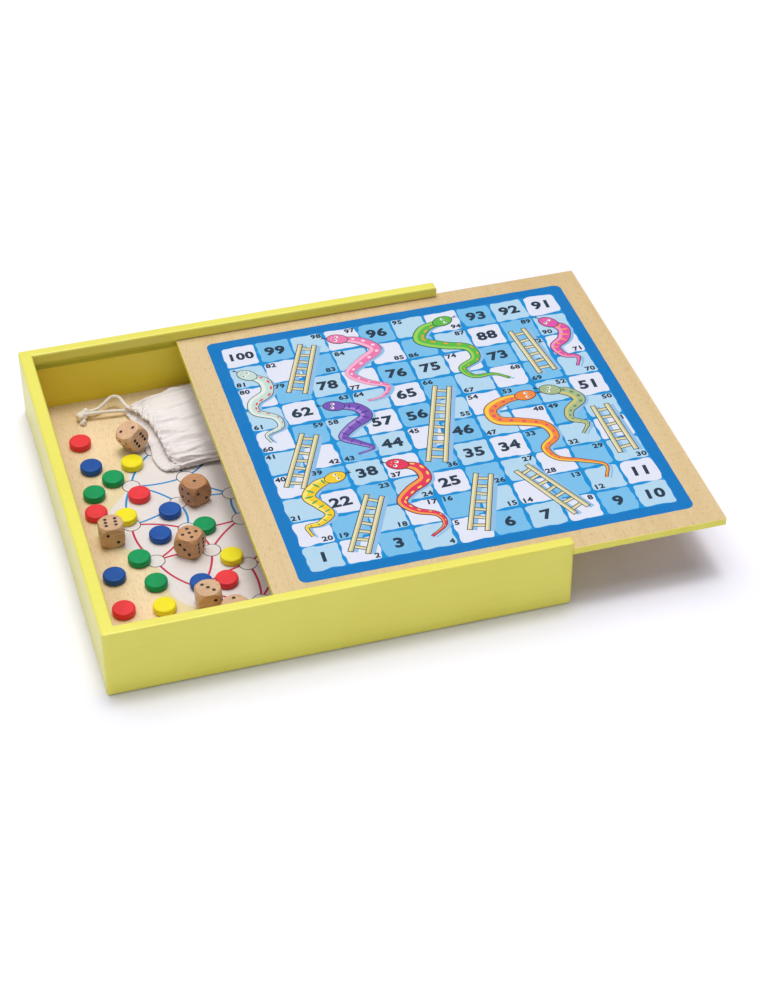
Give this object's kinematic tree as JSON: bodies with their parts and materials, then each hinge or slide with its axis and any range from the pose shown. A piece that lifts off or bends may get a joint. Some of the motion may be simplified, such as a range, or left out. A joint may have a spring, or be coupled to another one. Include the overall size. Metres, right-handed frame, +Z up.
{
  "type": "games compendium box",
  "caption": "Square wooden games box whose sliding lid is a numbered board, with counters, dice and a cotton drawstring bag lying loose on its printed floor.",
  "frame": {"origin": "centre of the flat underside of the box, not counting the drawn-out lid", "axes": "+X the way the lid is drawn out, +Y towards the back rail, +Z up"},
  "size_m": [0.4044, 0.3, 0.05],
  "materials": {
    "yellow_paint": "satin yellow paint on wood",
    "beech_veneer": "matt clear varnish on beech",
    "game_board": "satin print on beech, with painted yellow edges",
    "dice_wood": "waxed wood with black painted pips",
    "cotton_cloth": "plain woven cotton",
    "cotton_cord": "braided cotton",
    "red_lacquer": "satin red lacquer on wood",
    "blue_lacquer": "satin blue lacquer on wood",
    "yellow_lacquer": "satin yellow lacquer on wood",
    "green_lacquer": "satin green lacquer on wood"
  },
  "bodies": {
    "box": {"front_rail": "yellow_paint", "back_rail": "yellow_paint", "closed_end_wall": "yellow_paint", "open_end_wall": "yellow_paint", "base_panel": "beech_veneer"},
    "lid": {"sliding_lid": "game_board"},
    "red_counter_1": {"red_counter_1": "red_lacquer"},
    "red_counter_2": {"red_counter_2": "red_lacquer"},
    "red_counter_3": {"red_counter_3": "red_lacquer"},
    "red_counter_4": {"red_counter_4": "red_lacquer"},
    "red_counter_5": {"red_counter_5": "red_lacquer"},
    "blue_counter_1": {"blue_counter_1": "blue_lacquer"},
    "blue_counter_2": {"blue_counter_2": "blue_lacquer"},
    "blue_counter_3": {"blue_counter_3": "blue_lacquer"},
    "blue_counter_4": {"blue_counter_4": "blue_lacquer"},
    "blue_counter_5": {"blue_counter_5": "blue_lacquer"},
    "yellow_counter_1": {"yellow_counter_1": "yellow_lacquer"},
    "yellow_counter_2": {"yellow_counter_2": "yellow_lacquer"},
    "yellow_counter_3": {"yellow_counter_3": "yellow_lacquer"},
    "yellow_counter_4": {"yellow_counter_4": "yellow_lacquer"},
    "yellow_counter_5": {"yellow_counter_5": "yellow_lacquer"},
    "green_counter_1": {"green_counter_1": "green_lacquer"},
    "green_counter_2": {"green_counter_2": "green_lacquer"},
    "green_counter_3": {"green_counter_3": "green_lacquer"},
    "green_counter_4": {"green_counter_4": "green_lacquer"},
    "green_counter_5": {"green_counter_5": "green_lacquer"},
    "die_1": {"die_1": "dice_wood"},
    "die_2": {"die_2": "dice_wood"},
    "die_3": {"die_3": "dice_wood"},
    "die_4": {"die_4": "dice_wood"},
    "die_5": {"die_5": "dice_wood"},
    "die_6": {"die_6": "dice_wood"},
    "bag": {"cotton_bag": "cotton_cloth", "drawstring_arched": "cotton_cord", "drawstring_straight": "cotton_cord", "drawstring_knot": "cotton_cord"}
  },
  "joints": [
    {"name": "lid_slide", "type": "slide", "parent": "box", "child": "lid", "axis": [1, 0, 0], "range_m": [-0.1044, 0.19]},
    {"name": "red_counter_1_lift", "type": "slide", "parent": "box", "child": "red_counter_1", "axis": [0, 0, 1], "range_m": [0, 0.05]},
    {"name": "red_counter_2_lift", "type": "slide", "parent": "box", "child": "red_counter_2", "axis": [0, 0, 1], "range_m": [0, 0.05]},
    {"name": "red_counter_3_lift", "type": "slide", "parent": "box", "child": "red_counter_3", "axis": [0, 0, 1], "range_m": [0, 0.05]},
    {"name": "red_counter_4_lift", "type": "slide", "parent": "box", "child": "red_counter_4", "axis": [0, 0, 1], "range_m": [0, 0.05]},
    {"name": "red_counter_5_lift", "type": "slide", "parent": "box", "child": "red_counter_5", "axis": [0, 0, 1], "range_m": [0, 0.05]},
    {"name": "blue_counter_1_lift", "type": "slide", "parent": "box", "child": "blue_counter_1", "axis": [0, 0, 1], "range_m": [0, 0.05]},
    {"name": "blue_counter_2_lift", "type": "slide", "parent": "box", "child": "blue_counter_2", "axis": [0, 0, 1], "range_m": [0, 0.05]},
    {"name": "blue_counter_3_lift", "type": "slide", "parent": "box", "child": "blue_counter_3", "axis": [0, 0, 1], "range_m": [0, 0.05]},
    {"name": "blue_counter_4_lift", "type": "slide", "parent": "box", "child": "blue_counter_4", "axis": [0, 0, 1], "range_m": [0, 0.05]},
    {"name": "blue_counter_5_lift", "type": "slide", "parent": "box", "child": "blue_counter_5", "axis": [0, 0, 1], "range_m": [0, 0.05]},
    {"name": "yellow_counter_1_lift", "type": "slide", "parent": "box", "child": "yellow_counter_1", "axis": [0, 0, 1], "range_m": [0, 0.05]},
    {"name": "yellow_counter_2_lift", "type": "slide", "parent": "box", "child": "yellow_counter_2", "axis": [0, 0, 1], "range_m": [0, 0.05]},
    {"name": "yellow_counter_3_lift", "type": "slide", "parent": "box", "child": "yellow_counter_3", "axis": [0, 0, 1], "range_m": [0, 0.05]},
    {"name": "yellow_counter_4_lift", "type": "slide", "parent": "box", "child": "yellow_counter_4", "axis": [0, 0, 1], "range_m": [0, 0.05]},
    {"name": "yellow_counter_5_lift", "type": "slide", "parent": "box", "child": "yellow_counter_5", "axis": [0, 0, 1], "range_m": [0, 0.025]},
    {"name": "green_counter_1_lift", "type": "slide", "parent": "box", "child": "green_counter_1", "axis": [0, 0, 1], "range_m": [0, 0.05]},
    {"name": "green_counter_2_lift", "type": "slide", "parent": "box", "child": "green_counter_2", "axis": [0, 0, 1], "range_m": [0, 0.05]},
    {"name": "green_counter_3_lift", "type": "slide", "parent": "box", "child": "green_counter_3", "axis": [0, 0, 1], "range_m": [0, 0.05]},
    {"name": "green_counter_4_lift", "type": "slide", "parent": "box", "child": "green_counter_4", "axis": [0, 0, 1], "range_m": [0, 0.05]},
    {"name": "green_counter_5_lift", "type": "slide", "parent": "box", "child": "green_counter_5", "axis": [0, 0, 1], "range_m": [0, 0.05]},
    {"name": "die_1_lift", "type": "slide", "parent": "box", "child": "die_1", "axis": [0, 0, 1], "range_m": [0, 0.05]},
    {"name": "die_2_lift", "type": "slide", "parent": "box", "child": "die_2", "axis": [0, 0, 1], "range_m": [0, 0.05]},
    {"name": "die_3_lift", "type": "slide", "parent": "box", "child": "die_3", "axis": [0, 0, 1], "range_m": [0, 0.05]},
    {"name": "die_4_lift", "type": "slide", "parent": "box", "child": "die_4", "axis": [0, 0, 1], "range_m": [0, 0.05]},
    {"name": "die_5_lift", "type": "slide", "parent": "box", "child": "die_5", "axis": [0, 0, 1], "range_m": [0, 0.05]},
    {"name": "die_6_lift", "type": "slide", "parent": "box", "child": "die_6", "axis": [0, 0, 1], "range_m": [0, 0.05]},
    {"name": "bag_lift", "type": "slide", "parent": "box", "child": "bag", "axis": [0, 0, 1], "range_m": [0, 0.012]}
  ]
}
